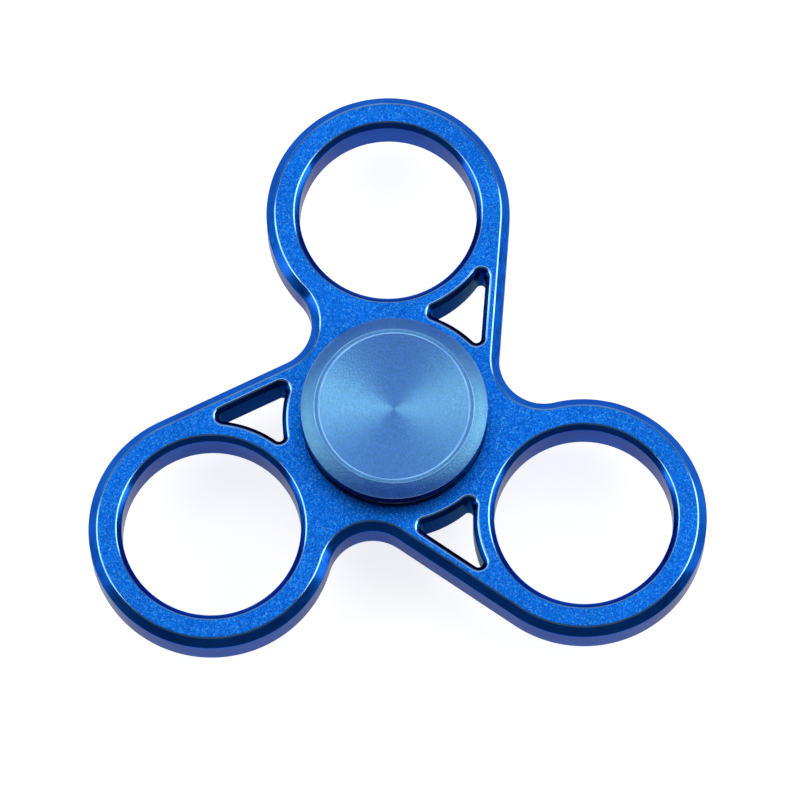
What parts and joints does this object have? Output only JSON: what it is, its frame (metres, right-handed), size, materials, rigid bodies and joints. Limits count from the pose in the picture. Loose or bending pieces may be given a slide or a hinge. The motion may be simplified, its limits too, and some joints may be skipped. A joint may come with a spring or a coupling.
{
  "type": "fidget spinner",
  "caption": "Hand spinner with ring-ended arms braced by straight webs, turning freely on a shielded ball bearing between dished finger caps.",
  "frame": {"origin": "middle of the ball bearing on the spin axis, halfway between the caps", "axes": "+Z along the spin axis towards the upper cap, +Y from the axis towards one ring, +X to the right of it seen from above"},
  "size_m": [0.076, 0.0698, 0.0174],
  "materials": {
    "frame_blue": "bead-blasted and anodised bright blue, glossier on the chamfers",
    "cap_blue": "turned satin, anodised light blue",
    "bearing_steel": "ground and polished",
    "pressed_steel": "pressed, plain",
    "stud_black": "black oxide"
  },
  "bodies": {
    "holder": {"upper_cap": "cap_blue", "lower_cap": "cap_blue", "cap_stud": "stud_black", "bearing_inner_race": "bearing_steel"},
    "rotor": {"frame": "frame_blue", "bearing_outer_race": "bearing_steel", "upper_shield": "pressed_steel", "lower_shield": "pressed_steel", "upper_snap_wire": "pressed_steel", "lower_snap_wire": "pressed_steel"},
    "cage": {"upper_cage_half": "pressed_steel", "lower_cage_half": "pressed_steel", "cage_rivet_1": "pressed_steel", "cage_rivet_2": "pressed_steel", "cage_rivet_3": "pressed_steel", "cage_rivet_4": "pressed_steel", "cage_rivet_5": "pressed_steel", "cage_rivet_6": "pressed_steel", "cage_rivet_7": "pressed_steel"},
    "ball_body_1": {"ball_1": "bearing_steel"},
    "ball_body_2": {"ball_2": "bearing_steel"},
    "ball_body_3": {"ball_3": "bearing_steel"},
    "ball_body_4": {"ball_4": "bearing_steel"},
    "ball_body_5": {"ball_5": "bearing_steel"},
    "ball_body_6": {"ball_6": "bearing_steel"},
    "ball_body_7": {"ball_7": "bearing_steel"}
  },
  "joints": [
    {"name": "rotor_spin", "type": "hinge", "parent": "holder", "child": "rotor", "pos_m": [0, 0, 0], "axis": [0, 0, 1], "continuous": true},
    {"name": "cage_orbit", "type": "hinge", "parent": "holder", "child": "cage", "pos_m": [0, 0, 0], "axis": [0, 0, 1], "continuous": true},
    {"name": "ball_1_roll", "type": "hinge", "parent": "cage", "child": "ball_body_1", "pos_m": [0.0075, 0, 0], "axis": [0, 0, 1], "continuous": true},
    {"name": "ball_2_roll", "type": "hinge", "parent": "cage", "child": "ball_body_2", "pos_m": [0.00468, 0.00586, 0], "axis": [0, 0, 1], "continuous": true},
    {"name": "ball_3_roll", "type": "hinge", "parent": "cage", "child": "ball_body_3", "pos_m": [-0.00167, 0.00731, 0], "axis": [0, 0, 1], "continuous": true},
    {"name": "ball_4_roll", "type": "hinge", "parent": "cage", "child": "ball_body_4", "pos_m": [-0.00676, 0.00325, 0], "axis": [0, 0, 1], "continuous": true},
    {"name": "ball_5_roll", "type": "hinge", "parent": "cage", "child": "ball_body_5", "pos_m": [-0.00676, -0.00325, 0], "axis": [0, 0, 1], "continuous": true},
    {"name": "ball_6_roll", "type": "hinge", "parent": "cage", "child": "ball_body_6", "pos_m": [-0.00167, -0.00731, 0], "axis": [0, 0, 1], "continuous": true},
    {"name": "ball_7_roll", "type": "hinge", "parent": "cage", "child": "ball_body_7", "pos_m": [0.00468, -0.00586, 0], "axis": [0, 0, 1], "continuous": true}
  ],
  "couplings": [
    {"joint": "cage_orbit", "follows": "rotor_spin", "ratio": 0.6323},
    {"joint": "ball_1_roll", "follows": "rotor_spin", "ratio": 1.7573},
    {"joint": "ball_2_roll", "follows": "rotor_spin", "ratio": 1.7573},
    {"joint": "ball_3_roll", "follows": "rotor_spin", "ratio": 1.7573},
    {"joint": "ball_4_roll", "follows": "rotor_spin", "ratio": 1.7573},
    {"joint": "ball_5_roll", "follows": "rotor_spin", "ratio": 1.7573},
    {"joint": "ball_6_roll", "follows": "rotor_spin", "ratio": 1.7573},
    {"joint": "ball_7_roll", "follows": "rotor_spin", "ratio": 1.7573}
  ]
}
